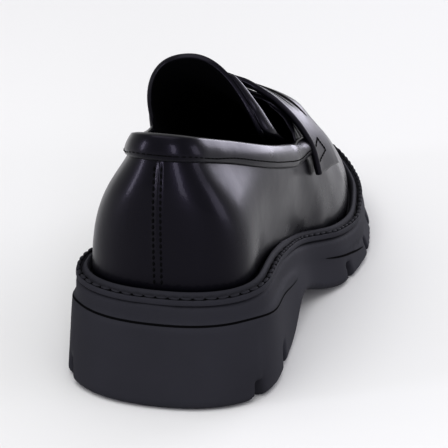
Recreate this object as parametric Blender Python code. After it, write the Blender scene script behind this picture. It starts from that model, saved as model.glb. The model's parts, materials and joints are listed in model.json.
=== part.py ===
"""Chunky lug sole loafer, the right shoe, standing empty on its sole.

Metres. +Y points to the toe, +X to the shoe's outer (lateral) side, +Z up. The origin is on the
ground, at the middle of the box around the shoe.

Everything follows one loop around the foot. A place on it is an angle: 0 at the back of the heel,
half a turn at the toe, with the lateral side in between and the medial side on the way back.
"""
import math
from collections import namedtuple

import bmesh
import bpy
from mathutils import Vector

# Sole unit
SOLE_LENGTH = 0.270
HEEL_WIDTH = 0.088
WAIST_WIDTH = 0.079
BALL_WIDTH = 0.103
HEEL_HEIGHT = 0.0437
FORE_HEIGHT = 0.0182
TOE_SPRING = 0.007
ARCH_RISE = 0.013
EDGE_ROUND = 0.0025
WALL_LEAN = 0.0024
LEDGE_DROP = 0.0088
LEDGE_DEPTH = 0.0018
GROOVE_DEPTH = 0.0012
LUG_GAP = 0.0055
LUG_DEPTH = 0.0085
LUG_TAPER = 0.7

# Welt
WELT_WIDTH = 0.0062
WELT_THICKNESS = 0.0026
BEAD_HEIGHT = 0.0042
WELT_GAP = 0.00045

# Upper
UPPER_WALL = 0.0018
BACK_HEIGHT = 0.0652
INSTEP_HEIGHT = 0.0754
TOE_HEIGHT = 0.030
SEAM_WIDTH = 0.006
SEAM_RAISE = 0.0008
COLLAR_DEPTH = 0.0086
COLLAR_INSIDE = 0.006
COLLAR_PAD = 0.0022
COLLAR_GAP = 0.0005

# Strap, tongue and insole
STRAP_THICKNESS = 0.0026
SLOT_WIDTH = 0.007
TONGUE_THICKNESS = 0.0024
INSOLE_THICKNESS = 0.003

GAP = 0.0003
STATIONS = 36
WALL_ROWS = 12

# Plan of the sole at the ground: each row holds the two sides as shares of the width it follows.
Plan = namedtuple("Plan", "along lateral medial width")
PLAN = [
    Plan(0.00, 0.500, 0.520, HEEL_WIDTH),
    Plan(0.13, 0.495, 0.515, HEEL_WIDTH),
    Plan(0.25, 0.475, 0.465, HEEL_WIDTH),
    Plan(0.40, 0.520, 0.455, WAIST_WIDTH),
    Plan(0.50, 0.500, 0.365, BALL_WIDTH),
    Plan(0.62, 0.540, 0.445, BALL_WIDTH),
    Plan(0.74, 0.500, 0.467, BALL_WIDTH),
    Plan(0.86, 0.435, 0.462, BALL_WIDTH),
    Plan(1.00, 0.400, 0.470, BALL_WIDTH),
]
HEEL_ROUND = 0.14
TOE_ROUND = 0.23
HEEL_POWER = 2.3
TOE_POWER = 2.0

# Heights along the sole, as shares of its length.
TOP_FALL_START = 0.13
TOP_FALL_END = 0.66
ARCH_START = 0.27
ARCH_CROWN = 0.345
ARCH_END = 0.505
SPRING_START = 0.82
STEP_FADE_START = 0.30
STEP_FADE_END = 0.42
GROOVE_FADE_START = 0.52
GROOVE_FADE_END = 0.60
LUG_GAPS_AT = (0.070, 0.180, 0.530, 0.640, 0.750, 0.860)

# Top line, instep ridge and wall of the upper. along is where a wall starts on the sole, back is
# where its top lies along the shoe, and lateral and medial are its top as shares of the ball
# width. The wall leaves the sole upright for low of its height and meets its top at the slope
# lean, in degrees, over high of its length. swell is how far its middle bulges on each side. cut
# is the share of the wall's rise at which the upper itself stops: the strap carries on above.
Wall = namedtuple("Wall", "along back lateral medial rise height lean low high swell medial_swell cut")
WALLS = [
    Wall(0.00, 0.056, 0.140, -0.140, 1.00, BACK_HEIGHT, 85, 0.62, 0.25, 0.015, 0.015, 1.00),
    Wall(0.07, 0.090, 0.140, -0.140, 0.95, BACK_HEIGHT, 85, 0.62, 0.25, 0.015, 0.015, 1.00),
    Wall(0.14, 0.141, 0.175, -0.172, 0.87, BACK_HEIGHT, 84, 0.62, 0.25, 0.015, 0.015, 1.00),
    Wall(0.22, 0.215, 0.242, -0.228, 0.775, BACK_HEIGHT, 82, 0.58, 0.25, 0.015, 0.015, 1.00),
    Wall(0.30, 0.296, 0.290, -0.270, 0.71, BACK_HEIGHT, 78, 0.52, 0.25, 0.015, 0.030, 1.00),
    Wall(0.36, 0.370, 0.305, -0.298, 0.69, BACK_HEIGHT, 72, 0.50, 0.25, 0.015, 0.030, 1.00),
    Wall(0.40, 0.378, 0.270, -0.268, 0.80, INSTEP_HEIGHT, 60, 0.52, 0.22, 0.012, 0.018, 0.74),
    Wall(0.43, 0.380, 0.136, -0.190, 0.94, INSTEP_HEIGHT, 30, 0.54, 0.24, 0.030, 0.030, 0.64),
    Wall(0.46, 0.385, -0.060, -0.060, 0.99, INSTEP_HEIGHT, 0, 0.55, 0.28, 0.044, 0.057, 0.618),
    Wall(0.50, 0.404, -0.060, -0.060, 0.985, INSTEP_HEIGHT, 0, 0.55, 0.30, 0.018, 0.053, 0.64),
    Wall(0.53, 0.426, -0.060, -0.060, 0.965, INSTEP_HEIGHT, 0, 0.56, 0.31, 0.015, 0.055, 0.80),
    Wall(0.56, 0.452, -0.060, -0.060, 0.94, INSTEP_HEIGHT, 0, 0.58, 0.32, 0.015, 0.050, 1.00),
    Wall(0.60, 0.496, -0.056, -0.056, 0.88, INSTEP_HEIGHT, 0, 0.60, 0.33, 0.015, 0.040, 1.00),
    Wall(0.70, 0.611, -0.040, -0.040, 0.685, INSTEP_HEIGHT, 0, 0.56, 0.35, 0.010, 0.015, 1.00),
    Wall(0.80, 0.733, -0.030, -0.030, 1.25, TOE_HEIGHT, 0, 0.55, 0.38, 0.008, 0.008, 1.00),
    Wall(0.90, 0.830, -0.030, -0.030, 1.03, TOE_HEIGHT, 0, 0.55, 0.40, 0.008, 0.008, 1.00),
    Wall(1.00, 0.885, -0.034, -0.034, 0.90, TOE_HEIGHT, 0, 0.55, 0.45, 0.008, 0.008, 1.00),
]
RIDGE_START = 0.46

# Extra stations keep the throat's bend true. The back seam shows between bead and collar, and each
# pair holds where it rises or sinks, as shares of the wall.
THROAT_START = 0.34
THROAT_END = 0.60
SEAM_RISES = (0.08, 0.20)
SEAM_SINKS = (0.80, 0.86)

# Cross sections of the tongue, from under the vamp to its free rim: height of the arch's foot
# and its rise as shares of the instep height, half width as a share of the ball width, roll in
# degrees toward the medial side. Its feet stand TONGUE_LEAN nearer the lateral side than its crown.
Arch = namedtuple("Arch", "back foot rise half roll")
TONGUE = [
    Arch(0.520, 0.520, 0.270, 0.180, 2.0),
    Arch(0.470, 0.560, 0.300, 0.195, 4.0),
    Arch(0.415, 0.580, 0.345, 0.210, 6.0),
    Arch(0.380, 0.600, 0.430, 0.218, 9.0),
    Arch(0.352, 0.620, 0.500, 0.226, 11.0),
]
TONGUE_CENTRE = -0.055
TONGUE_LEAN = 0.050
TONGUE_POWER = 2.3
ARCH_POINTS = 18

# The strap lies between two walls of the upper. Its slot runs from end to end over the instep.
STRAP_BACK = 0.500
STRAP_FRONT = 0.590
STRAP_END = 0.27
SLOT_END = 0.60
STRAP_STEPS = 16

# Section of the welt from its outer foot, as shares of its width inward and heights.
Profile = namedtuple("Profile", "inward up height")
WELT_SECTION = [
    Profile(0.00, 0.00, WELT_THICKNESS),
    Profile(0.00, 0.80, WELT_THICKNESS),
    Profile(0.08, 1.00, WELT_THICKNESS),
    Profile(0.26, 1.00, WELT_THICKNESS),
    Profile(0.36, 0.70, WELT_THICKNESS),
    Profile(0.46, 0.95, WELT_THICKNESS),
    Profile(0.56, 0.88, BEAD_HEIGHT),
    Profile(0.72, 1.00, BEAD_HEIGHT),
    Profile(0.86, 0.88, BEAD_HEIGHT),
    Profile(1.00, 0.00, BEAD_HEIGHT),
]

# Section of the padded collar: share of the depth below the top edge, and share of the padding.
Pad = namedtuple("Pad", "down out")
COLLAR_OUTSIDE = [
    Pad(1.00, 0.10),
    Pad(0.93, 0.55),
    Pad(0.72, 0.95),
    Pad(0.40, 1.00),
    Pad(0.12, 0.85),
]


def between(rows, column, t):
    """A column's value at t: smooth, level at a turn, and never past the rows beside it."""
    ts = [row[0] for row in rows]
    vs = [column(row) for row in rows]
    t = min(max(t, ts[0]), ts[-1])
    i = min(max(k for k in range(len(ts)) if ts[k] <= t), len(ts) - 2)
    steps = [(vs[k + 1] - vs[k]) / (ts[k + 1] - ts[k]) for k in range(len(ts) - 1)]

    def slope(k):
        if k == 0:
            return steps[0]
        if k == len(ts) - 1:
            return steps[-1]
        if steps[k - 1] * steps[k] <= 0.0:
            return 0.0
        return 2.0 * steps[k - 1] * steps[k] / (steps[k - 1] + steps[k])

    span = ts[i + 1] - ts[i]
    s = (t - ts[i]) / span
    return (vs[i] * (1 + 2 * s) * (1 - s) ** 2 + vs[i + 1] * s * s * (3 - 2 * s)
            + slope(i) * span * s * (1 - s) ** 2 - slope(i + 1) * span * s * s * (1 - s))


def ease(start, end, value):
    """0 before start, 1 after end, smooth between them."""
    s = min(max((value - start) / (end - start), 0.0), 1.0)
    return s * s * (3.0 - 2.0 * s)


def along(angle):
    """Share of the sole's length at an angle of the loop."""
    return 0.5 * (1.0 - math.cos(angle))


def side(angle):
    """1 on the lateral half of the loop, -1 on the medial half."""
    return 1.0 if math.sin(angle) >= 0.0 else -1.0


def end_round(t):
    """Share of the full width left at t by the rounding of heel and toe."""
    heel = max(1.0 - t / HEEL_ROUND, 0.0)
    toe = max(1.0 - (1.0 - t) / TOE_ROUND, 0.0)
    return ((1.0 - min(heel, 1.0) ** HEEL_POWER) ** (1.0 / HEEL_POWER)
            * (1.0 - min(toe, 1.0) ** TOE_POWER) ** (1.0 / TOE_POWER))


def ground_point(angle):
    """Plan of the sole's edge where it meets the ground."""
    t = along(angle)
    lateral = between(PLAN, lambda row: row.lateral * row.width, t)
    medial = between(PLAN, lambda row: -row.medial * row.width, t)
    middle, half = 0.5 * (lateral + medial), 0.5 * (lateral - medial)
    return Vector((middle + side(angle) * half * end_round(t), t * SOLE_LENGTH, 0.0))


def outward(angle):
    """Level direction out of the sole's edge."""
    ahead = ground_point(angle + 0.02) - ground_point(angle - 0.02)
    return Vector((ahead.y, -ahead.x, 0.0)).normalized()


def edge(angle, inset, level, lift):
    """A point inward from the sole's edge, by lift above the level at its place along the sole."""
    point = ground_point(angle) - inset * outward(angle)
    point.z = level(point.y / SOLE_LENGTH) + lift
    return point


def spring(t):
    return TOE_SPRING * max((t - SPRING_START) / (1.0 - SPRING_START), 0.0) ** 2


def sole_under(t):
    """Height of the underside: flat heel and ball, arch between them, toe lifted."""
    arch = ease(ARCH_START, ARCH_CROWN, t) * (1.0 - ease(ARCH_CROWN, ARCH_END, t))
    return ARCH_RISE * arch + spring(t)


def sole_top(t):
    """Height of the top of the sole unit, on which welt, upper and insole stand."""
    fall = ease(TOP_FALL_START, TOP_FALL_END, t)
    return HEEL_HEIGHT + (FORE_HEIGHT - HEEL_HEIGHT) * fall + spring(t)


FEATHER_INSET = WALL_LEAN + LEDGE_DEPTH + WELT_WIDTH + WELT_GAP


def wall_curve(angle):
    """The four control points of the upper's outer wall at an angle."""
    t = along(angle)
    foot = edge(angle, FEATHER_INSET, sole_top, GAP)
    back = between(WALLS, lambda row: row.back, t)
    lateral = between(WALLS, lambda row: row.lateral, t) * BALL_WIDTH
    medial = between(WALLS, lambda row: row.medial, t) * BALL_WIDTH
    round_off = end_round(t) if t < HEEL_ROUND else 1.0
    x = 0.5 * (lateral + medial) + side(angle) * 0.5 * (lateral - medial) * round_off
    rise = between(WALLS, lambda row: row.rise * row.height, t)
    top = Vector((x, back * SOLE_LENGTH, sole_top(back) + rise))
    lean = math.radians(between(WALLS, lambda row: row.lean, t))
    low = between(WALLS, lambda row: row.low, t) * (top.z - foot.z)
    high = between(WALLS, lambda row: row.high, t) * (top - foot).length
    out = outward(angle)
    up = Vector((0.0, 0.0, 1.0))
    return (foot, foot + low * up,
            top + high * (math.cos(lean) * out - math.sin(lean) * up), top)


def swell(angle, h):
    """How far the wall bulges at h, more on the medial side of the waist."""
    t = along(angle)
    lateral = between(WALLS, lambda row: row.swell, t)
    medial = between(WALLS, lambda row: row.medial_swell, t)
    share = lateral if side(angle) > 0.0 else medial
    return share * BALL_WIDTH * (4.0 * h * (1.0 - h)) ** 2


def wall_point(angle, h):
    """Outer surface of the upper: h is 0 at the sole and 1 at the top of the wall."""
    a, b, c, d = wall_curve(angle)
    g = 1.0 - h
    point = g ** 3 * a + 3 * g * g * h * b + 3 * g * h * h * c + h ** 3 * d
    return point + swell(angle, h) * outward(angle)


def seam_lift(angle, h):
    """How far the back seam stands out of the heel."""
    beside = abs(ground_point(angle).x - ground_point(0.0).x)
    if along(angle) > HEEL_ROUND or beside > 0.5 * SEAM_WIDTH:
        return 0.0
    return SEAM_RAISE * ease(*SEAM_RISES, h) * (1.0 - ease(*SEAM_SINKS, h))


def wall_normal(angle, h):
    """Direction out of the upper's surface. At the ridge it is shared by both sides."""
    def one_side(a):
        ahead = wall_point(a + 0.03, h) - wall_point(a - 0.03, h)
        rise = wall_point(a, min(h + 0.02, 1.0)) - wall_point(a, h - 0.02)
        return ahead.cross(rise).normalized()
    if h > 0.999 and along(angle) > RIDGE_START:
        return (one_side(angle) + one_side(-angle)).normalized()
    return one_side(angle)


def upper_top(angle):
    """h at which the upper stops: its top line, throat or ridge."""
    t = along(angle)
    cut = between(WALLS, lambda row: row.cut, t)
    if cut > 0.999:
        return 1.0
    foot, top = wall_point(angle, 0.0).z, wall_point(angle, 1.0).z
    low, high = 0.0, 1.0
    for _ in range(30):
        middle = 0.5 * (low + high)
        if wall_point(angle, middle).z < foot + cut * (top - foot):
            low = middle
        else:
            high = middle
    return low


def loop_angles():
    return [math.pi * k / STATIONS for k in range(2 * STATIONS)]


def upper_angles():
    """The loop's angles, with more at the throat and at the edges of the back seam."""
    rate = abs(ground_point(0.05).x - ground_point(0.0).x) / 0.05
    inside = 0.499 * SEAM_WIDTH / rate
    outside = inside + SEAM_RAISE / rate
    seam = [inside, outside, 2.0 * math.pi - outside, 2.0 * math.pi - inside]
    halves = [math.pi * (k + 0.5) / STATIONS for k in range(2 * STATIONS)]
    throat = [a for a in halves if THROAT_START < along(a) < THROAT_END]
    return sorted(loop_angles() + seam + throat)


def material(name, colour, roughness, metallic=0.0):
    mat = bpy.data.materials.new(name)
    mat.use_nodes = True
    shader = mat.node_tree.nodes["Principled BSDF"]
    shader.inputs["Base Color"].default_value = (*colour, 1.0)
    shader.inputs["Roughness"].default_value = roughness
    shader.inputs["Metallic"].default_value = metallic
    return mat


def add_object(name, points, faces, mat, sharp=math.radians(40)):
    """A named mesh object, welded where points meet and shaded smooth between sharp edges."""
    bm = bmesh.new()
    verts = [bm.verts.new(p) for p in points]
    for face in faces:
        bm.faces.new([verts[i] for i in face])
    bmesh.ops.remove_doubles(bm, verts=bm.verts, dist=0.00001)
    bmesh.ops.dissolve_degenerate(bm, edges=bm.edges, dist=0.00001)
    mesh = bpy.data.meshes.new(name)
    bm.to_mesh(mesh)
    bm.free()
    mesh.shade_smooth()
    mesh.set_sharp_from_angle(angle=sharp)
    mesh.materials.append(mat)
    obj = bpy.data.objects.new(name, mesh)
    bpy.context.collection.objects.link(obj)
    return obj


def thicken(obj, thickness, offset):
    """Give a sheet its thickness: offset -1 grows inward, 1 outward."""
    solid = obj.modifiers.new("Wall", "SOLIDIFY")
    solid.thickness = thickness
    solid.offset = offset
    solid.use_even_offset = True
    solid.use_rim = True


def ladder(first, count):
    """Faces that span a closed loop of count points, side to side."""
    def at(k):
        return first + k % count
    half = count // 2
    faces = [(at(0), at(1), at(-1))]
    faces += [(at(k), at(k + 1), at(-k - 1), at(-k)) for k in range(1, half - 1)]
    faces.append((at(half - 1), at(half), at(half + 1)))
    return faces


def tube_faces(rings, count, closed):
    """Side faces between rings of count points. closed joins the last ring to the first."""
    faces = []
    for r in range(rings if closed else rings - 1):
        low, high = r * count, ((r + 1) % rings) * count
        for k in range(count):
            n = (k + 1) % count
            faces.append((low + k, low + n, high + n, high + k))
    return faces


def sheet_faces(rows, columns, first=0):
    return [(first + r * columns + c, first + r * columns + c + 1,
             first + (r + 1) * columns + c + 1, first + (r + 1) * columns + c)
            for r in range(rows - 1) for c in range(columns - 1)]


def lug_cutter():
    """Tapered bars across the underside, one for each gap between lugs."""
    points, faces = [], []
    reach = BALL_WIDTH
    for share in LUG_GAPS_AT:
        y = share * SOLE_LENGTH
        lift = spring(share)
        first = len(points)
        for x in (-reach, reach):
            for width, z in ((1.0, -LUG_GAP), (1.0, lift), (LUG_TAPER, lift + LUG_DEPTH)):
                points += [Vector((x, y - 0.5 * width * LUG_GAP, z)),
                           Vector((x, y + 0.5 * width * LUG_GAP, z))]
        ring = (first, first + 1, first + 3, first + 5, first + 4, first + 2)
        faces.append(tuple(reversed(ring)))
        faces.append(tuple(i + 6 for i in ring))
        for i, j in zip(ring, ring[1:] + ring[:1]):
            faces.append((i, j, j + 6, i + 6))
    cutter = add_object("lug_cutter", points, faces, material("cutter", (1.0, 0.2, 0.1), 0.5))
    cutter.hide_render = True
    cutter.display_type = "WIRE"
    return cutter


def build_outsole(mat):
    """The moulded rubber unit: leaning wall, ledge round the heel, groove round the forefoot."""
    angles = loop_angles()
    rings = []
    for share in (1.0, 0.3, 0.0):
        rings.append([edge(a, share * EDGE_ROUND, sole_under, (1.0 - share) ** 1.4 * EDGE_ROUND)
                      for a in angles])

    def step(t):
        return LEDGE_DEPTH * (1.0 - ease(STEP_FADE_START, STEP_FADE_END, t))

    def groove(t):
        return GROOVE_DEPTH * ease(GROOVE_FADE_START, GROOVE_FADE_END, t)

    def wall_ring(drop, inset):
        return [edge(a, inset(along(a)), sole_top, -drop) for a in angles]

    rings.append(wall_ring(1.06 * LEDGE_DROP, lambda t: WALL_LEAN))
    rings.append(wall_ring(0.94 * LEDGE_DROP, lambda t: WALL_LEAN + 0.75 * step(t) + groove(t)))
    rings.append(wall_ring(0.80 * LEDGE_DROP, lambda t: WALL_LEAN + step(t) + 0.2 * groove(t)))
    rings.append(wall_ring(0.0, lambda t: WALL_LEAN + LEDGE_DEPTH))
    points = [p for ring in rings for p in ring]
    count = len(angles)
    faces = tube_faces(len(rings), count, closed=False)
    faces += [tuple(reversed(face)) for face in ladder(0, count)]
    faces += ladder((len(rings) - 1) * count, count)
    sole = add_object("outsole", points, faces, mat)
    cut = sole.modifiers.new("Lugs", "BOOLEAN")
    cut.operation = "DIFFERENCE"
    cut.solver = "EXACT"
    cut.object = lug_cutter()
    return sole


def build_welt(mat):
    """The strip on the sole's edge, with its stitch channel and the bead beside the upper."""
    angles = loop_angles()
    outer = WALL_LEAN + LEDGE_DEPTH
    points = []
    for row in WELT_SECTION:
        inset = outer + row.inward * WELT_WIDTH
        points += [edge(a, inset, sole_top, GAP + row.up * row.height) for a in angles]
    faces = tube_faces(len(WELT_SECTION), len(angles), closed=True)
    return add_object("welt", points, faces, mat)


def build_upper(mat):
    """Quarters and vamp in one hollow wall, open at the top line and over the insole."""
    angles = upper_angles()
    tops = [upper_top(a) for a in angles]
    points = []
    for r in range(WALL_ROWS + 1):
        for a, top in zip(angles, tops):
            h = top * r / WALL_ROWS
            points.append(wall_point(a, h) + seam_lift(a, h) * outward(a))
    faces = tube_faces(WALL_ROWS + 1, len(angles), closed=False)
    upper = add_object("upper", points, faces, mat)
    thicken(upper, UPPER_WALL, -1.0)
    return upper


def collar_ring(angle):
    """Section of the collar at an angle, folded over the upper's top edge."""
    top = upper_top(angle)
    walk = [wall_point(angle, top * (1.0 - k / 60.0)) for k in range(30)]

    def at(down, out):
        gone, k = 0.0, 0
        while k < len(walk) - 2 and gone + (walk[k + 1] - walk[k]).length < down:
            gone += (walk[k + 1] - walk[k]).length
            k += 1
        step = walk[k + 1] - walk[k]
        normal = wall_normal(angle, top * (1.0 - k / 60.0))
        return walk[k] + (down - gone) * step.normalized() + out * normal

    inner = -UPPER_WALL - COLLAR_GAP
    outside = [at(row.down * COLLAR_DEPTH, COLLAR_GAP + row.out * COLLAR_PAD)
               for row in COLLAR_OUTSIDE]
    crown = [at(-0.7 * COLLAR_PAD, COLLAR_GAP + 0.3 * COLLAR_PAD),
             at(-COLLAR_PAD, 0.5 * inner), at(-0.7 * COLLAR_PAD, inner - 0.3 * COLLAR_PAD)]
    inside = [at(0.1 * COLLAR_INSIDE, inner - 0.55 * COLLAR_PAD),
              at(0.9 * COLLAR_INSIDE, inner - 0.45 * COLLAR_PAD), at(COLLAR_INSIDE, inner)]
    slot = [at(-COLLAR_GAP, inner)]
    slot += [at(down, COLLAR_GAP)
             for down in (-COLLAR_GAP, 0.35 * COLLAR_DEPTH, 0.7 * COLLAR_DEPTH, COLLAR_DEPTH)]
    return outside + crown + inside + slot


def build_collar(mat):
    """The padded binding round the top line, ending at the strap on both sides."""
    end = math.acos(1.0 - 2.0 * STRAP_BACK) - 2.0 * STRAP_THICKNESS / SOLE_LENGTH
    inside = [a for a in upper_angles() if a < end - 0.02]
    angles = [-end] + [-a for a in reversed(inside) if a > 0.0] + inside + [end]
    rings = [collar_ring(a) for a in angles]
    count = len(rings[0])
    points = [p for ring in rings for p in ring]
    faces = tube_faces(len(rings), count, closed=False)
    faces.append(tuple(reversed(range(count))))
    faces.append(tuple(range((len(rings) - 1) * count, len(rings) * count)))
    collar = add_object("collar", points, [tuple(reversed(f)) for f in faces], mat)
    return collar


def build_strap(mat):
    """The saddle strap over the instep, with its slot, resting on the upper."""
    climb = [STRAP_END + (1.0 - STRAP_END) * k / STRAP_STEPS for k in range(STRAP_STEPS + 1)]
    middle = 0.5 * (STRAP_BACK + STRAP_FRONT)
    points = []
    stops = [(h, 1.0) for h in climb] + [(h, -1.0) for h in reversed(climb[:-1])]
    for h, hand in stops:
        reach = max(1.0 - ((1.0 - h) / (1.0 - SLOT_END)) ** 2, 0.0)
        slot = 0.5 * SLOT_WIDTH / SOLE_LENGTH * reach
        for t in (STRAP_BACK, 0.5 * (STRAP_BACK + middle - slot), middle - slot,
                  middle + slot, 0.5 * (STRAP_FRONT + middle + slot), STRAP_FRONT):
            angle = hand * math.acos(1.0 - 2.0 * t)
            points.append(wall_point(angle, h) + GAP * wall_normal(angle, h))
    faces = []
    for r in range(len(stops) - 1):
        for c in (0, 1, 3, 4):
            low = r * 6 + c
            faces.append((low, low + 1, low + 7, low + 6))
    strap = add_object("strap", points, faces, mat)
    thicken(strap, STRAP_THICKNESS, 1.0)
    return strap


def tongue_point(s, u):
    """Outer surface of the tongue: s runs from its root to its rim, u from -1 to 1 across."""
    rows = [(k / (len(TONGUE) - 1), row) for k, row in enumerate(TONGUE)]
    back = between(rows, lambda row: row[1].back, s)
    foot = between(rows, lambda row: row[1].foot, s) * INSTEP_HEIGHT
    rise = between(rows, lambda row: row[1].rise, s) * INSTEP_HEIGHT
    half = between(rows, lambda row: row[1].half, s) * BALL_WIDTH
    roll = math.radians(between(rows, lambda row: row[1].roll, s))
    turn = 0.5 * math.pi * u
    x = half * math.copysign(abs(math.sin(turn)) ** (2.0 / TONGUE_POWER), u)
    crown = abs(math.cos(turn)) ** (2.0 / TONGUE_POWER)
    z = rise * crown
    middle = (TONGUE_CENTRE + TONGUE_LEAN * (1.0 - crown) ** 2) * BALL_WIDTH
    return Vector((middle + x * math.cos(roll) - z * math.sin(roll),
                   back * SOLE_LENGTH,
                   sole_top(back) + foot + x * math.sin(roll) + z * math.cos(roll)))


def build_tongue(mat):
    """The arched tongue that comes up under the strap."""
    rows = 2 * (len(TONGUE) - 1) + 1
    points = [tongue_point(r / (rows - 1), 2.0 * c / ARCH_POINTS - 1.0)
              for r in range(rows) for c in range(ARCH_POINTS + 1)]
    tongue = add_object("tongue", points, sheet_faces(rows, ARCH_POINTS + 1), mat)
    thicken(tongue, TONGUE_THICKNESS, 1.0)
    return tongue


def build_insole(mat):
    """The board that closes the upper underneath."""
    angles = loop_angles()
    inset = FEATHER_INSET + UPPER_WALL + 2.0 * GAP
    points = [edge(a, inset, sole_top, GAP + lift)
              for lift in (0.0, INSOLE_THICKNESS) for a in angles]
    count = len(angles)
    faces = tube_faces(2, count, closed=False)
    faces += [tuple(reversed(face)) for face in ladder(0, count)]
    faces += ladder(count, count)
    return add_object("insole", points, faces, mat)


def main():
    for obj in list(bpy.data.objects):
        bpy.data.objects.remove(obj, do_unlink=True)
    rubber = material("black_rubber", (0.035, 0.035, 0.042), 0.65)
    leather = material("black_box_leather", (0.012, 0.012, 0.018), 0.25)
    trim = material("black_trim_leather", (0.014, 0.014, 0.020), 0.30)
    lining = material("black_lining", (0.010, 0.010, 0.012), 0.80)
    pieces = [build_outsole(rubber), build_welt(rubber), build_upper(leather),
              build_collar(trim), build_strap(trim), build_tongue(trim), build_insole(lining)]
    across = [ground_point(a).x for a in loop_angles()]
    centre = bpy.data.objects.new("loafer", None)
    bpy.context.collection.objects.link(centre)
    centre.location = (-0.5 * (max(across) + min(across)), -0.5 * SOLE_LENGTH, 0.0)
    for obj in pieces + [bpy.data.objects["lug_cutter"]]:
        obj.parent = centre


main()
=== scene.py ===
"""Looks of the chunky lug sole loafer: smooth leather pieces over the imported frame, their seams
and stitches, the sole's rubber, and a plain pale studio. Metres, toe toward +Y, outer side toward
+X."""
import json
import math

import bmesh
import bpy
from mathutils import Matrix, Vector
from mathutils.bvhtree import BVHTree

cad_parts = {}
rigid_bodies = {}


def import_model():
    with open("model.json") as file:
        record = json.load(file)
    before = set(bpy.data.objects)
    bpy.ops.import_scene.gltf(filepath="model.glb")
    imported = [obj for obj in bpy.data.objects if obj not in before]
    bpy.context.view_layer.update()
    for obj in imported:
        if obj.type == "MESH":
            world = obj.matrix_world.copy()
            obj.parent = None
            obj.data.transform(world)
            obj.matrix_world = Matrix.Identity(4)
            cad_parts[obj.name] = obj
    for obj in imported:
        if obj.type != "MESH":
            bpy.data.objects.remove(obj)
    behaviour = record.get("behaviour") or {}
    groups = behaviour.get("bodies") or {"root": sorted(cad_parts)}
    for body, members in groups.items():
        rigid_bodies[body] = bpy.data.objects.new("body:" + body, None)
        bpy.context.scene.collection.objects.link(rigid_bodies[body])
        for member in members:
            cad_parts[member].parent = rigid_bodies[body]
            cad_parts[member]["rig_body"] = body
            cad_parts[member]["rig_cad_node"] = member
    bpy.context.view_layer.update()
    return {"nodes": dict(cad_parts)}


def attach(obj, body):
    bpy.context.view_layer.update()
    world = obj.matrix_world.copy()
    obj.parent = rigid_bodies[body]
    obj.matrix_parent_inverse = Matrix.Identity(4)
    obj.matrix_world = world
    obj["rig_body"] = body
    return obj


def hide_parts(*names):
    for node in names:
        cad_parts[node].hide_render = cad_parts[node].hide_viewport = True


MM = 0.001
FORWARD, DOWN = Vector((0, 1, 0)), Vector((0, 0, -1))

# The picture: the camera's place, what it looks at, its lens and film in mm, and the gamma that
# deepens the blacks.
CAMERA_AT = Vector((0.1943, -0.8233, 0.3751))
LOOK_AT = Vector((-0.0075, -0.0040, 0.0270))
LENS, FILM = 163.0, 36.0
VIEW_GAMMA = 0.8

# The shoe's own landmarks: the back seam, the foot's space from back to front at one height, and
# the ball, waist and heel that a sweep round the outline turns about.
SEAM_X = -0.0046
FOOT_BACK, FOOT_FRONT, FOOT_HEIGHT = -0.09, 0.08, 0.045
BALL_X, WAIST_X = -0.0005, -0.003
BALL_Y, HEEL_Y, SIDE_LENGTH = 0.070, -0.090, 0.160
SWEEP_TURN = 2

# How a CAD node's mesh is made ready: the merging distance, how far the two triangles of a quad may
# lean and its shape may be off, in degrees, the crease of a sharp edge, and the sole's voxels.
MERGE = 0.00001
QUAD_LEAN, QUAD_SHAPE = 50, 60
CREASE = 0.85
SOLE_VOXEL = 0.95 * MM

# Where a wall is evened out: least and greatest height, back and front, and the rounds.
WAIST_EASE = (0.037, 0.082, -0.050, 0.035, 11)
COLLAR_EASE = (0.050, 0.120, -0.030, 0.035, 1)

# The quarter's swell on the outer side: from behind, over its fullest place, to the ball; down from
# a height over some reach; and only on the faces beyond a place across the shoe.
WAIST_BACK, WAIST_MIDDLE, WAIST_FRONT = -0.085, -0.021, 0.010
WAIST_HEIGHT, WAIST_REACH = 0.052, 0.024
WAIST_SIDE = 0.010
WAIST_FILL = 3.0 * MM

# The collar's outer end goes on under the strap, from a place along the shoe and over some reach.
TUCK_BACK, TUCK_REACH = -0.047, 0.030
COLLAR_TUCK = Vector((0.6, 5.5, -2.4)) * MM

# The strap goes round an axis along the instep, given by x and z. It arches up between two turns
# about that axis, in degrees, just ahead of its slot. Its outer tip reaches down and back, below a
# height and behind a place, each over some reach.
INSTEP_AXIS = (-0.008, 0.055)
ARCH_TURNS = (-30.0, 62.0)
ARCH_AHEAD, ARCH_REACH, ARCH_LIFT = 0.0085, 0.0105, 2.6 * MM
ARCH_RISE = 5.0
TIP_HEIGHT, TIP_FALL = 0.071, 0.012
TIP_FRONT, TIP_RUN = 0.012, 0.016
TIP_REACH = Vector((-1.0, -3.4, -1.8)) * MM

# The slot, shown by a lens that is a dark sheet of painted shade: between two turns, its back
# end and how far forward its outer end lies, its greatest width, and how its lens is divided.
SLOT_TURNS = (-24.0, 56.0)
SLOT_BACK, SLOT_FORWARD = -0.0075, 0.008
SLOT_WIDTH = 6.0 * MM
SLOT_ROWS, SLOT_HALF_WIDE = 32, 2
SLOT_LIFT, SLOT_THICK = 0.12 * MM, 0.12 * MM

# The roll along the strap's back edge: the turns it runs between, where the edge is looked for, and
# the roll's radius and how far it lies in and back of the edge.
EDGE_TURN, EDGE_STEP = 87, 2
EDGE_BACK, EDGE_SEARCH, EDGE_STEPS = -0.040, 0.0005, 150
ROLL_RADIUS, ROLL_SINK, ROLL_BACK = 1.5 * MM, 0.9 * MM, 0.2 * MM

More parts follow.
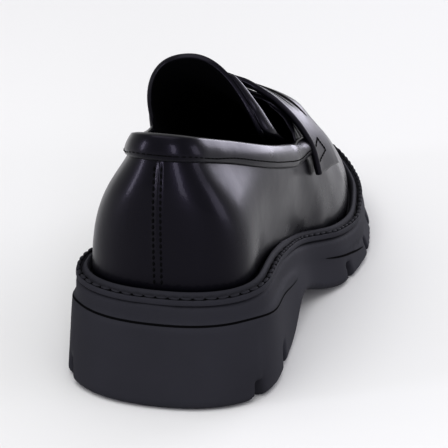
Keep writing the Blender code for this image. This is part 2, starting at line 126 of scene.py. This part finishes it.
# A stitch's length, width and height in each kind of row, and the row's pitch.
SEAM_STITCH, SEAM_PITCH = (1.8 * MM, 1.0 * MM, 0.5 * MM), 2.6 * MM
COLLAR_STITCH, COLLAR_PITCH = (1.9 * MM, 0.5 * MM, 0.4 * MM), 2.7 * MM
WELT_STITCH, WELT_PITCH = (4.4 * MM, 1.7 * MM, 1.0 * MM), 4.9 * MM
STRAP_STITCH, STRAP_PITCH = (1.8 * MM, 0.7 * MM, 0.5 * MM), 2.4 * MM

# Where the rows lie: each side of the back seam, above the collar's edge, and inside the welt's.
# The seam's heights are in mm, from the lowest up.
SEAM_HALF = 1.5 * MM
SEAM_LOW, SEAM_STEP, SEAM_STEPS = 49.5, 0.85, 60
COLLAR_UP = 2.6 * MM
WELT_INSET, GROOVE_INSET = 0.9 * MM, 2.2 * MM

# Steps along a ribbon, coarse on the flat and fine on curved rubber, and how far it stands off.
COARSE, FINE = 1.5 * MM, 0.8 * MM
LOW_LIFT, LEATHER_LIFT, LEDGE_LIFT, GROOVE_LIFT = 0.04 * MM, 0.10 * MM, 0.18 * MM, 0.25 * MM

# Rays start this far off the heel, the collar, the welt, the strap and the sole. A face that turns
# from its ray counts only above FACING, and a ribbon isn't laid across a longer gap than GAP.
HEEL_OFF, COLLAR_OFF, WELT_OFF, STRAP_OFF, SOLE_OFF = -0.2, 0.15, 0.2, 0.12, 0.1
FACING = 0.3
GAP = 8.0 * MM

# The search for the collar's lower edge goes about a place in its mouth, to both sides in turns of
# so many degrees, and up in steps. The search for the welt's outer edge goes inward in steps.
MOUTH_Y = -0.060
COLLAR_TURN, COLLAR_TURNS = 1.02, 140
COLLAR_SEARCH, COLLAR_FIRST, COLLAR_LAST = 0.0004, 150, 300
WELT_SEARCH, WELT_FAR, WELT_NEAR = 0.0003, 230, 60

# The tongue's outer edge: its rows from the lowest up, how far it rolls at the top and how much
# more at the foot, in mm, and how the roll turns, goes forward and falls.
TONGUE_LOW, TONGUE_STEP, TONGUE_ROWS, TONGUE_BAND = 0.069, 0.0030, 15, 1.2 * MM
TONGUE_REACH, TONGUE_MORE, TONGUE_POINTS = 1.5, 5.0, 6
TONGUE_TURN, TONGUE_BEND, TONGUE_AHEAD, TONGUE_FALL = 1.2, 1.25, 0.15, -0.25
TONGUE_OVERLAP, TONGUE_THICK = 0.4 * MM, 1.2 * MM

# The box of stitches at the strap's outer end, as places in mm near the surface that are moved by
# BOX_START and set down on it.
BOX_STITCH = [(34.3, -0.5, 70.4), (37.1, 5.5, 62.7), (33.7, -6.6, 59.9), (32.3, -11.3, 65.3),
              (34.3, -0.5, 70.4)]
BOX_START = Vector((4.0, -1.0, 2.0)) * MM

# The line under the heel's ledge: its height at the back, its two falls toward the waist, each with
# its depth, start and reach, where it ends, and the heel's radius.
LEDGE_TOP = 0.0356
LEDGE_FALLS = ((0.0045, -0.118, 0.03), (0.0075, -0.090, 0.045))
LEDGE_FRONT, LEDGE_ROUND = -0.045, 0.04

# The groove along the outer side of the forefoot, above the lugs, where a dark ribbon paints its
# shade, as places in mm.
FORE_GROOVE = [(40.4, -11.3, 18.1), (43.5, -3.9, 15.8), (46.3, 5.6, 13.3), (49.1, 22.1, 9.2),
               (50.0, 32.0, 7.0)]

# The studio's soft boxes: name, place, aim, width, height, watts and colour.
SHOE, HEEL = (0.0, 0.0, 0.05), (0.0, -0.1, 0.06)
BOXES = [
    ("top_box", (-0.2, -0.8, 2.1), (-0.1, -0.4, 0.0), 2.4, 2.0, 33.0, "#ffffff"),
    ("front_box", (0.84, 1.58, 0.41), SHOE, 1.20, 0.80, 16.0, "#f4f2ff"),
    ("right_box", (1.40, -0.12, 0.27), SHOE, 0.6, 0.52, 4.5, "#f4f2ff"),
    ("left_strip", (-1.25, -0.85, 0.30), HEEL, 0.20, 0.60, 5.5, "#f4f2ff"),
    ("back_strip", (0.55, -1.70, 0.40), HEEL, 0.30, 0.80, 8.5, "#f4f2ff"),
]
FLOOR_SIZE = 8.0
AIR_COLOUR, AIR_STRENGTH = "#e8e8e8", 0.91

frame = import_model()
bpy.ops.object.select_all(action="DESELECT")
NODES = frame["nodes"]


def srgb(text):
    """A hex colour as the linear values that a shader takes."""
    parts = [int(text[i:i + 2], 16) / 255.0 for i in (1, 3, 5)]
    return [p / 12.92 if p <= 0.04045 else ((p + 0.055) / 1.055) ** 2.4 for p in parts] + [1.0]


def add(tree, kind, settings=None, **links):
    """One node: settings go on it or its sockets, links join its inputs to other nodes' outputs."""
    node = tree.nodes.new(kind)
    for name, value in (settings or {}).items():
        if name in node.inputs:
            node.inputs[name].default_value = value
        else:
            setattr(node, name, value)
    for name, source in links.items():
        tree.links.new(source, node.inputs[name])
    return node


def new_material(name, settings):
    """A named material, its tree, its Principled shader and the object's coordinates."""
    mat = bpy.data.materials.new(name)
    mat.use_nodes = True
    tree = mat.node_tree
    shader = tree.nodes["Principled BSDF"]
    for socket, value in settings.items():
        shader.inputs[socket].default_value = value
    place = add(tree, "ShaderNodeTexCoord").outputs["Object"]
    return mat, tree, shader, place


def box_leather():
    """Box calf, corrected and polished to a shine: black with a violet cast, dark where it faces
    the eye and bright where it turns away, under a thin glossy finish, with a very fine tight grain
    and a faint waviness that bends the reflections."""
    mat, tree, shader, place = new_material("polished_box_leather", {
        "Base Color": srgb("#08080d"), "Roughness": 0.30, "IOR": 1.5, "Specular IOR Level": 0.6,
        "Specular Tint": srgb("#7f798e"), "Coat Weight": 0.10, "Coat Roughness": 0.08,
        "Coat IOR": 1.5})
    cloud = add(tree, "ShaderNodeTexNoise", {"Scale": 38.0, "Detail": 3.0}, Vector=place)
    tone = add(tree, "ShaderNodeMapRange",
               {"From Min": 0.3, "From Max": 0.7, "To Min": 0.26, "To Max": 0.36},
               Value=cloud.outputs["Fac"])
    tree.links.new(tone.outputs["Result"], shader.inputs["Roughness"])
    grain = add(tree, "ShaderNodeTexVoronoi", {"Scale": 1.0 / (0.7 * MM)}, Vector=place)
    wave = add(tree, "ShaderNodeTexNoise", {"Scale": 1.0 / (14.0 * MM), "Detail": 2.0},
               Vector=place)
    fine = add(tree, "ShaderNodeBump", {"Strength": 0.25, "Distance": 0.04 * MM},
               Height=grain.outputs["Distance"])
    broad = add(tree, "ShaderNodeBump", {"Strength": 0.55, "Distance": 0.30 * MM},
                Height=wave.outputs["Fac"], Normal=fine.outputs["Normal"])
    tree.links.new(broad.outputs["Normal"], shader.inputs["Normal"])
    tree.links.new(broad.outputs["Normal"], shader.inputs["Coat Normal"])
    return mat


def moulded_rubber():
    """Moulded black rubber: charcoal, matte, with the mould's fine spark-eroded texture."""
    mat, tree, shader, place = new_material("moulded_black_rubber", {
        "Base Color": srgb("#29292e"), "Roughness": 0.66, "IOR": 1.5, "Specular IOR Level": 0.08})
    cloud = add(tree, "ShaderNodeTexNoise", {"Scale": 30.0, "Detail": 4.0}, Vector=place)
    colour = add(tree, "ShaderNodeMix", {"data_type": "RGBA"})
    colour.inputs[6].default_value = srgb("#2b2b30")
    colour.inputs[7].default_value = srgb("#35353b")
    tree.links.new(cloud.outputs["Fac"], colour.inputs["Factor"])
    tree.links.new(colour.outputs[2], shader.inputs["Base Color"])
    pits = add(tree, "ShaderNodeTexNoise", {"Scale": 1.0 / (0.8 * MM), "Detail": 3.0}, Vector=place)
    bump = add(tree, "ShaderNodeBump", {"Strength": 0.25, "Distance": 0.08 * MM},
               Height=pits.outputs["Fac"])
    tree.links.new(bump.outputs["Normal"], shader.inputs["Normal"])
    return mat


def lining():
    """Microfibre lining: a dull black with a short nap. It also gives the needle channels on the
    leather their dull dark, and is painted shade in the rubber's grooves, between the welt's
    stitches and in the strap's slot."""
    mat, tree, shader, place = new_material("microfibre_lining_and_painted_shade", {
        "Base Color": srgb("#08080a"), "Roughness": 0.95, "Specular IOR Level": 0.04})
    nap = add(tree, "ShaderNodeTexNoise", {"Scale": 1.0 / (0.5 * MM), "Detail": 2.0}, Vector=place)
    bump = add(tree, "ShaderNodeBump", {"Strength": 0.3, "Distance": 0.1 * MM},
               Height=nap.outputs["Fac"])
    tree.links.new(bump.outputs["Normal"], shader.inputs["Normal"])
    return mat


def waxed_thread(name, colour):
    """Waxed polyester thread: twisted, with a dull sheen beside the polished leather."""
    mat, tree, shader, place = new_material(name, {
        "Base Color": srgb(colour), "Roughness": 0.6, "Specular IOR Level": 0.06})
    twist = add(tree, "ShaderNodeTexWave", {"Scale": 1.0 / (1.2 * MM)}, Vector=place)
    bump = add(tree, "ShaderNodeBump", {"Strength": 0.3, "Distance": 0.05 * MM},
               Height=twist.outputs["Fac"])
    tree.links.new(bump.outputs["Normal"], shader.inputs["Normal"])
    return mat


LEATHER = box_leather()
RUBBER = moulded_rubber()
# The lining's dull black also serves as painted shade on the rubber and in the strap's slot.
LINING_AND_PAINTED_SHADE = lining()
THREAD = waxed_thread("waxed_black_thread", "#060608")
WELT_THREAD = waxed_thread("waxed_charcoal_thread", "#2c2c31")


def only(obj):
    """Select obj alone and make it active."""
    bpy.ops.object.select_all(action="DESELECT")
    obj.select_set(True)
    bpy.context.view_layer.objects.active = obj


def new_piece(name, data):
    """A new object with this mesh or curve, selected alone."""
    obj = bpy.data.objects.new(name, data)
    bpy.context.scene.collection.objects.link(obj)
    only(obj)
    return obj


def apply_all(obj):
    """Apply the object's modifiers in their order."""
    for modifier in list(obj.modifiers):
        bpy.ops.object.modifier_apply(modifier=modifier.name)


def face_out():
    """Turn the active piece's normals outward."""
    bpy.ops.object.mode_set(mode="EDIT")
    bpy.ops.mesh.select_all(action="SELECT")
    bpy.ops.mesh.normals_make_consistent(inside=False)
    bpy.ops.object.mode_set(mode="OBJECT")


def ease(share):
    """0 to 1 with a soft start and end, for a share that may lie outside."""
    share = min(max(share, 0.0), 1.0)
    return share * share * (3.0 - 2.0 * share)


def outward(turn):
    """The way out from the instep's axis, at a turn in degrees: 0 is up, 90 the outer side."""
    return Vector((math.sin(math.radians(turn)), 0.0, math.cos(math.radians(turn))))


def even_out(obj, low, high, back, front, rounds):
    """Relax the wall between two heights and two places along the shoe."""
    bpy.ops.object.mode_set(mode="EDIT")
    bpy.ops.mesh.select_mode(type="VERT")
    bpy.ops.mesh.select_all(action="DESELECT")
    bpy.ops.object.mode_set(mode="OBJECT")
    for vertex in obj.data.vertices:
        vertex.select = low < vertex.co.z < high and back < vertex.co.y < front
    bpy.ops.object.mode_set(mode="EDIT")
    bpy.ops.mesh.vertices_smooth(factor=0.5, repeat=rounds)
    bpy.ops.object.mode_set(mode="OBJECT")


def fill_waist(place):
    """The outer side's quarter swells where the CAD wall is hollow between heel and ball."""
    rise = (ease((place.y - WAIST_BACK) / (WAIST_MIDDLE - WAIST_BACK)) if place.y < WAIST_MIDDLE
            else ease((WAIST_FRONT - place.y) / (WAIST_FRONT - WAIST_MIDDLE)))
    height = ease(1.0 - (place.z - WAIST_HEIGHT) / WAIST_REACH)
    if place.x > WAIST_SIDE:
        place.x += WAIST_FILL * rise * height


def slot_place(share):
    """How far forward the slot lies, at a share of its way from the inner to the outer end."""
    return SLOT_BACK + SLOT_FORWARD * share * share


def arch_strap(place):
    """The strap arches up in front of its slot and its outer tip reaches down and back."""
    fill_waist(place)
    turn = math.degrees(math.atan2(place.x - INSTEP_AXIS[0], place.z - INSTEP_AXIS[1]))
    share = (turn - ARCH_TURNS[0]) / (ARCH_TURNS[1] - ARCH_TURNS[0])
    middle = slot_place(share) + ARCH_AHEAD
    ends = ease(ARCH_RISE * share) * ease(ARCH_RISE - ARCH_RISE * share)
    near = ends * ease(1.0 - abs(place.y - middle) / ARCH_REACH)
    place += ARCH_LIFT * near * outward(turn)
    if place.x > 0.0:
        low = ease((TIP_HEIGHT - place.z) / TIP_FALL)
        place += low * ease((TIP_FRONT - place.y) / TIP_RUN) * TIP_REACH


def tuck_collar(place):
    """The collar's outer end goes on, dipping, until it is under the strap."""
    fill_waist(place)
    if place.x > 0.0:
        place += ease((place.y - TUCK_BACK) / TUCK_REACH) * COLLAR_TUCK


def dress(node, name, material, levels, sharp, relax=None, reshape=None):
    """A smooth copy of a CAD node: merged, its quads found again, subdivided and shaded. Edges that
    turn by more than sharp degrees keep a crease. reshape moves each place first, and relax says
    where the wall is then evened out."""
    obj = NODES[node].copy()
    obj.data = NODES[node].data.copy()
    obj.name = name
    obj.parent = None
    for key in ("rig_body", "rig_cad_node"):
        del obj[key]
    bpy.context.scene.collection.objects.link(obj)
    obj.hide_render = obj.hide_viewport = False
    obj.data.materials.clear()
    obj.data.materials.append(material)
    only(obj)
    bpy.ops.object.mode_set(mode="EDIT")
    bpy.ops.mesh.select_all(action="SELECT")
    bpy.ops.mesh.customdata_custom_splitnormals_clear()
    bpy.ops.mesh.remove_doubles(threshold=MERGE)
    bpy.ops.mesh.tris_convert_to_quads(face_threshold=math.radians(QUAD_LEAN),
                                       shape_threshold=math.radians(QUAD_SHAPE))
    bpy.ops.mesh.select_all(action="DESELECT")
    bpy.ops.mesh.select_mode(type="EDGE")
    bpy.ops.mesh.edges_select_sharp(sharpness=math.radians(sharp))
    bpy.ops.transform.edge_crease(value=CREASE)
    bpy.ops.object.mode_set(mode="OBJECT")
    if reshape:
        for vertex in obj.data.vertices:
            reshape(vertex.co)
    if relax:
        even_out(obj, *relax)
    smooth = obj.modifiers.new("Smooth", "SUBSURF")
    smooth.levels = smooth.render_levels = levels
    apply_all(obj)
    bpy.ops.object.shade_smooth()
    return obj


def moulded(obj, voxel, rounds):
    """Give a dressed piece the soft edges of a moulding: remeshed and relaxed."""
    remesh = obj.modifiers.new("Mould", "REMESH")
    remesh.mode = "VOXEL"
    remesh.voxel_size = voxel
    relax = obj.modifiers.new("Relax", "SMOOTH")
    relax.factor = 0.5
    relax.iterations = rounds
    only(obj)
    apply_all(obj)
    bpy.ops.object.shade_smooth()
    return obj


def finish_piece(obj, slot, *nodes):
    """The piece rides the shoe's one body and stands for the nodes it replaces, which it hides.
    slot is not used.
    """
    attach(obj, "root")
    if nodes:
        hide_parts(*nodes)
    return obj


def line_inside(obj, material):
    """Give the faces that look into the foot's space the lining."""
    obj.data.materials.append(material)
    for face in obj.data.polygons:
        along = min(max(face.center.y, FOOT_BACK), FOOT_FRONT)
        heart = Vector((SEAM_X, along, FOOT_HEIGHT))
        if face.normal.dot(heart - face.center) > 0.0:
            face.material_index = 1


upper = finish_piece(dress("upper", "upper_leather", LEATHER, 2, 30, WAIST_EASE, fill_waist),
                     "box_leather", "upper")
line_inside(upper, LINING_AND_PAINTED_SHADE)
collar = finish_piece(dress("collar", "collar_binding", LEATHER, 2, 38, COLLAR_EASE, tuck_collar),
                      "trim_leather", "collar")
strap = finish_piece(dress("strap", "penny_strap", LEATHER, 2, 50, None, arch_strap),
                     "trim_leather", "strap")
tongue = finish_piece(dress("tongue", "tongue_flap", LEATHER, 2, 60), "trim_leather", "tongue")
line_inside(tongue, LINING_AND_PAINTED_SHADE)
insole = finish_piece(dress("insole", "insole_sock", LINING_AND_PAINTED_SHADE, 1, 50), "lining", "insole")
outsole = finish_piece(moulded(dress("outsole", "lug_outsole", RUBBER, 2, 32), SOLE_VOXEL, 3),
                       "sole_rubber", "outsole")
welt = finish_piece(dress("welt", "sole_welt", RUBBER, 2, 50), "sole_rubber", "welt")


def skin(obj):
    """What a needle or a finger meets: a search tree over the piece's faces."""
    return BVHTree.FromPolygons([vertex.co.copy() for vertex in obj.data.vertices],
                                [list(face.vertices) for face in obj.data.polygons])


def touch(tree, start, direction):
    """Place and outward normal where a ray first meets the skin, or None."""
    place, normal, _, _ = tree.ray_cast(start, direction)
    return None if place is None else (place, normal)


def spaced(line, pitch):
    """Points at an even pitch along a line of (place, normal) pairs, with the way along. Longer
    gaps than six pitches are left open."""
    if len(line) < 2:
        return []
    found, left = [], 0.5 * pitch
    for (a, normal_a), (b, normal_b) in zip(line, line[1:]):
        length = (b - a).length
        if length > 6.0 * pitch:
            continue
        while left < length:
            share = left / length
            normal = normal_a.lerp(normal_b, share).normalized()
            found.append((a.lerp(b, share), normal, (b - a).normalized()))
            left += pitch
        left -= length
    return found


def evened(line, passes=4):
    """A line with its small steps averaged out, its ends kept."""
    for _ in range(passes):
        inner = [((a[0] + b[0] + c[0]) / 3.0, (a[1] + b[1] + c[1]).normalized())
                 for a, b, c in zip(line, line[1:], line[2:])]
        line = line[:1] + inner + line[-1:]
    return line


def one_stitch():
    """A single stitch: a short, plump run of thread, a unit long."""
    bpy.ops.object.select_all(action="DESELECT")
    bpy.ops.mesh.primitive_uv_sphere_add(segments=10, ring_count=6, radius=0.5)
    obj = bpy.context.active_object
    bpy.ops.object.mode_set(mode="EDIT")
    bpy.ops.mesh.select_all(action="SELECT")
    bpy.ops.transform.rotate(value=0.5 * math.pi, orient_axis="Y", center_override=(0, 0, 0))
    bpy.ops.object.mode_set(mode="OBJECT")
    mesh = obj.data
    bpy.data.objects.remove(obj)
    return mesh


STITCH = one_stitch()


def sew(name, rows, size, slot="trim_leather", thread=THREAD, sink=0.15):
    """Rows of stitches as one piece. size is a stitch's length, width and height; sink is the
    share of its height that lies in the leather."""
    joined = bmesh.new()
    for place, normal, way in rows:
        across = normal.cross(way).normalized()
        along = across.cross(normal).normalized()
        turn = Matrix((along, across, normal)).transposed().to_4x4()
        seat = place + (0.5 - sink) * size[2] * normal
        before = len(joined.verts)
        joined.from_mesh(STITCH)
        joined.verts.ensure_lookup_table()
        fit = Matrix.Translation(seat) @ turn @ Matrix.Diagonal((*size, 1.0))
        for vertex in joined.verts[before:]:
            vertex.co = fit @ vertex.co
    mesh = bpy.data.meshes.new(name)
    joined.to_mesh(mesh)
    joined.free()
    mesh.materials.append(thread)
    mesh.shade_smooth()
    return finish_piece(new_piece(name, mesh), slot)


def channel(name, line, width, slot, lift, taper=False):
    """A needle channel or a groove: a flat dark ribbon that follows the surface, along a line of
    places with their normals and the way on. On the leather it is dark by being dull; on the rubber
    its dark is painted shade of a groove or of the gaps between stitches. A tapered one narrows to
    both ends."""
    points, faces = [], []
    for k, (place, normal, way) in enumerate(line):
        across = normal.cross(way).normalized()
        half = 0.5 * width
        if taper:
            half *= math.sin(math.pi * (k + 0.5) / len(line)) ** 0.5
        points += [place + lift * normal - half * across, place + lift * normal + half * across]
    for k in range(0, len(points) - 2, 2):
        if (points[k + 2] - points[k]).length < GAP:
            faces.append((k, k + 2, k + 3, k + 1))
    mesh = bpy.data.meshes.new(name)
    mesh.from_pydata(points, [], faces)
    mesh.materials.append(LINING_AND_PAINTED_SHADE)
    mesh.shade_smooth()
    obj = new_piece(name, mesh)
    bpy.ops.object.mode_set(mode="EDIT")
    bpy.ops.mesh.select_all(action="SELECT")
    bpy.ops.mesh.remove_doubles(threshold=MERGE)
    bpy.ops.object.mode_set(mode="OBJECT")
    face_out()
    return finish_piece(obj, slot)


upper_skin, collar_skin, welt_skin = skin(upper), skin(collar), skin(welt)
strap_skin, outsole_skin = skin(strap), skin(outsole)


def back_seam(offset):
    """A line up the heel, offset from the seam's middle, from the welt's bead to the collar."""
    line = []
    for k in range(SEAM_STEPS):
        start = Vector((SEAM_X + offset, HEEL_OFF, (SEAM_LOW + SEAM_STEP * k) * MM))
        met = touch(upper_skin, start, FORWARD)
        if met and not touch(collar_skin, start, FORWARD):
            line.append(met)
    return line


seam_rows = spaced(back_seam(-SEAM_HALF), SEAM_PITCH) + spaced(back_seam(SEAM_HALF), SEAM_PITCH)
sew("back_seam_stitches", seam_rows, SEAM_STITCH, "box_leather")


def collar_line(up):
    """A line round the collar, that far above its lower edge, from throat to throat."""
    line = []
    for k in range(-COLLAR_TURNS, COLLAR_TURNS + 1):
        turn = math.radians(COLLAR_TURN * k)
        out = Vector((math.sin(turn), -math.cos(turn), 0.0))
        for z in range(COLLAR_FIRST, COLLAR_LAST):
            start = Vector((SEAM_X, MOUTH_Y, COLLAR_SEARCH * z)) + COLLAR_OFF * out
            met = touch(collar_skin, start, -out)
            if met and (met[0] - start).length < COLLAR_OFF:
                break
        else:
            continue
        met = touch(collar_skin, start + Vector((0.0, 0.0, up)), -out)
        if met and met[1].dot(out) > FACING:
            line.append(met)
    return line


collar_row = evened(collar_line(COLLAR_UP))
channel("collar_channel", spaced(collar_row, COARSE), 0.5 * MM, "trim_leather", LEATHER_LIFT)
sew("collar_stitches", spaced(collar_row, COLLAR_PITCH), COLLAR_STITCH)


def sweep(step):
    """Places and directions that sweep once round the shoe: toe, outer side, heel, inner side."""
    ways = []
    for first, x, y, side in ((-90, BALL_X, BALL_Y, 1.0), (90, SEAM_X, HEEL_Y, -1.0)):
        for k in range(first, first + 180, SWEEP_TURN):
            turn = math.radians(k)
            ways.append((Vector((x, y, 0.0)), Vector((math.sin(turn), math.cos(turn), 0.0))))
        for k in range(int(SIDE_LENGTH / step)):
            ways.append((Vector((WAIST_X, y - side * k * step, 0.0)), Vector((side, 0.0, 0.0))))
    return ways


def welt_line(inset):
    """A line round the welt, inset from its outer edge."""
    line = []
    for centre, out in sweep(2.0 * MM):
        for r in range(WELT_FAR, WELT_NEAR, -1):
            start = centre + WELT_SEARCH * r * out + Vector((0.0, 0.0, WELT_OFF))
            if touch(welt_skin, start, DOWN):
                break
        else:
            continue
        met = touch(welt_skin, start - inset * out, DOWN)
        if met:
            line.append(met)
    return line + line[:1]


welt_row = welt_line(WELT_INSET)
# Inside the welt's stitch row a flat dark ribbon paints the shade of the welt's groove.
channel("welt_groove_painted_shade", spaced(welt_line(GROOVE_INSET), COARSE), 0.8 * MM, "sole_rubber", LOW_LIFT)
# Under the welt's stitches a dark ribbon paints the shade in the gaps between them.
channel("welt_stitch_gaps_painted_shade", spaced(welt_row, COARSE), 1.5 * MM, "sole_rubber", LOW_LIFT)
sew("welt_stitches", spaced(welt_row, WELT_PITCH), WELT_STITCH, "sole_rubber", WELT_THREAD)


def sheet(name, rows, material, thickness):
    """A skin through rows of points, given its thickness."""
    wide = len(rows[0])
    faces = [(k * wide + j, k * wide + j + 1, (k + 1) * wide + j + 1, (k + 1) * wide + j)
             for k in range(len(rows) - 1) for j in range(wide - 1)]
    mesh = bpy.data.meshes.new(name)
    mesh.from_pydata([point for row in rows for point in row], [], faces)
    mesh.materials.append(material)
    obj = new_piece(name, mesh)
    solid = obj.modifiers.new("Thickness", "SOLIDIFY")
    solid.thickness = thickness
    solid.offset = 0.0
    smooth = obj.modifiers.new("Smooth", "SUBSURF")
    smooth.levels = smooth.render_levels = 1
    apply_all(obj)
    face_out()
    bpy.ops.object.shade_smooth()
    return finish_piece(obj, "trim_leather")


def tongue_side():
    """The tongue's outer edge, rolled forward and out until it goes under the strap."""
    rows = []
    for k in range(TONGUE_ROWS):
        z = TONGUE_LOW + TONGUE_STEP * k
        near = [v.co for v in tongue.data.vertices if abs(v.co.z - z) < TONGUE_BAND]
        rim = max(near, key=lambda place: place.x)
        share = (TONGUE_ROWS - 1 - k) / (TONGUE_ROWS - 1)
        reach = (TONGUE_REACH + TONGUE_MORE * share) * MM
        row = []
        for j in range(TONGUE_POINTS):
            t = j / (TONGUE_POINTS - 1)
            row.append(rim + Vector((reach * math.sin(TONGUE_TURN * t) - TONGUE_OVERLAP,
                                     reach * (TONGUE_BEND * t * t + TONGUE_AHEAD * t),
                                     TONGUE_FALL * reach * t)))
        rows.append(row)
    return rows


sheet("tongue_side", tongue_side(), LEATHER, TONGUE_THICK)


def set_down(points, tree, step, start=Vector()):
    """The nearest places on the skin to a line through points given in mm, moved by start."""
    line = []
    for a, b in zip(points, points[1:]):
        a, b = Vector(a) * MM + start, Vector(b) * MM + start
        count = max(2, int((b - a).length / step))
        for k in range(count):
            place, normal, _, _ = tree.find_nearest(a.lerp(b, k / count))
            line.append((place, normal))
    place, normal, _, _ = tree.find_nearest(b)
    return line + [(place, normal)]


box_line = set_down(BOX_STITCH, strap_skin, 1.0 * MM, BOX_START)
channel("strap_box_channel", spaced(box_line, FINE), 0.6 * MM, "trim_leather", LEATHER_LIFT)
sew("strap_box_stitches", spaced(box_line, STRAP_PITCH), STRAP_STITCH)


def on_strap(turn, y):
    """Place and normal on the strap's outer face, at a turn in degrees about the instep's axis."""
    out = outward(turn)
    start = Vector((INSTEP_AXIS[0], y, INSTEP_AXIS[1])) + STRAP_OFF * out
    met = touch(strap_skin, start, -out)
    return met if met and met[1].dot(out) > FACING else None


def penny_slot_painted_shade():
    """The lens of the slot: a dark sheet of painted shade, laid on the slope that rises to the
    arch.
    """
    rows = []
    for k in range(SLOT_ROWS + 1):
        share = k / SLOT_ROWS
        turn = SLOT_TURNS[0] + share * (SLOT_TURNS[1] - SLOT_TURNS[0])
        half = 0.5 * SLOT_WIDTH * math.sin(math.pi * (0.02 + 0.96 * share))
        row = []
        for j in range(-SLOT_HALF_WIDE, SLOT_HALF_WIDE + 1):
            met = on_strap(turn, slot_place(share) + j * half / SLOT_HALF_WIDE)
            if met:
                row.append(met[0] + SLOT_LIFT * met[1])
        if len(row) == 2 * SLOT_HALF_WIDE + 1:
            rows.append(row)
    return rows


# The slot's lens is a dark sheet of painted shade on the strap.
sheet("penny_slot_painted_shade", penny_slot_painted_shade(), LINING_AND_PAINTED_SHADE, SLOT_THICK)


def back_edge():
    """The strap's back edge, from its inner to its outer end. Turns beyond the tips are left out,
    because their rays pass one tip and meet the other side's inner face."""
    line = []
    for k in range(-EDGE_TURN, EDGE_TURN + 1, EDGE_STEP):
        for j in range(EDGE_STEPS):
            met = on_strap(k, EDGE_BACK + EDGE_SEARCH * j)
            if met:
                line.append(met)
                break
    return evened(line, 3)


def strap_roll():
    """The strap's back edge, folded over into a thick roll."""
    curve = bpy.data.curves.new("strap_roll", "CURVE")
    curve.dimensions = "3D"
    curve.bevel_depth = ROLL_RADIUS
    curve.bevel_resolution = 4
    curve.use_fill_caps = True
    line = back_edge()
    spline = curve.splines.new("POLY")
    spline.points.add(len(line) - 1)
    for point, (place, normal) in zip(spline.points, line):
        at = place - ROLL_SINK * normal + Vector((0.0, -ROLL_BACK, 0.0))
        point.co = (*at, 1.0)
    new_piece("strap_roll", curve)
    bpy.ops.object.convert(target="MESH")
    obj = bpy.context.active_object
    obj.data.materials.clear()
    obj.data.materials.append(LEATHER)
    bpy.ops.object.shade_smooth()
    return finish_piece(obj, "trim_leather")


strap_roll()


def heel_ledge():
    """The line round the heel block under the ledge, low at the waist on both sides."""
    line = []
    for centre, out in sweep(3.0 * MM):
        if centre.y > LEDGE_FRONT:
            continue
        y = centre.y + (LEDGE_ROUND * out.y if abs(out.y) > 0.01 else 0.0)
        z = LEDGE_TOP - sum(fall * ease((y - back) / reach) for fall, back, reach in LEDGE_FALLS)
        met = touch(outsole_skin, Vector((centre.x, centre.y, z)) + SOLE_OFF * out, -out)
        if met:
            line.append(met)
    return evened(line, 2)


# Under the heel's ledge a dark tapered ribbon paints the shade of the groove there.
channel("heel_ledge_painted_shade", spaced(heel_ledge(), FINE), 0.9 * MM, "sole_rubber", LEDGE_LIFT, True)
# Along the forefoot a dark tapered ribbon paints the shade of the groove.
fore_line = evened(set_down(FORE_GROOVE, outsole_skin, 1.0 * MM))
channel("fore_groove_painted_shade", spaced(fore_line, FINE), 1.0 * MM, "sole_rubber", GROOVE_LIFT, True)


def studio():
    """Pale floor, even grey surroundings and soft boxes above and beside the shoe."""
    bpy.ops.mesh.primitive_plane_add(size=FLOOR_SIZE, location=(0.0, 0.0, 0.0))
    floor = bpy.context.active_object
    floor.name = "studio_floor"
    mat, tree, shader, place = new_material("painted_studio_floor", {
        "Base Color": srgb("#d9d9d9"), "Roughness": 0.9, "Specular IOR Level": 0.1})
    paint = add(tree, "ShaderNodeTexNoise", {"Scale": 3.0}, Vector=place)
    bump = add(tree, "ShaderNodeBump", {"Strength": 0.02}, Height=paint.outputs["Fac"])
    tree.links.new(bump.outputs["Normal"], shader.inputs["Normal"])
    floor.data.materials.append(mat)
    world = bpy.data.worlds.new("studio_air")
    bpy.context.scene.world = world
    world.use_nodes = True
    air = world.node_tree.nodes["Background"]
    air.inputs["Color"].default_value = srgb(AIR_COLOUR)
    air.inputs["Strength"].default_value = AIR_STRENGTH
    for name, place_at, aim, width, height, watts, colour in BOXES:
        light = bpy.data.lights.new(name, "AREA")
        light.shape = "RECTANGLE"
        light.size, light.size_y = width, height
        light.energy = watts
        light.color = srgb(colour)[:3]
        lamp = bpy.data.objects.new(name, light)
        bpy.context.scene.collection.objects.link(lamp)
        lamp.location = place_at
        lamp.rotation_euler = (Vector(aim) - Vector(place_at)).to_track_quat("-Z", "Y").to_euler()


def camera():
    """The camera, from behind on the outer side."""
    data = bpy.data.cameras.new("camera")
    data.lens = LENS
    data.sensor_width = FILM
    cam = bpy.data.objects.new("camera", data)
    bpy.context.scene.collection.objects.link(cam)
    cam.location = CAMERA_AT
    cam.rotation_euler = (LOOK_AT - CAMERA_AT).to_track_quat("-Z", "Y").to_euler()
    bpy.context.scene.camera = cam


studio()
camera()
bpy.context.scene.view_settings.view_transform = "Standard"
bpy.context.scene.view_settings.gamma = VIEW_GAMMA
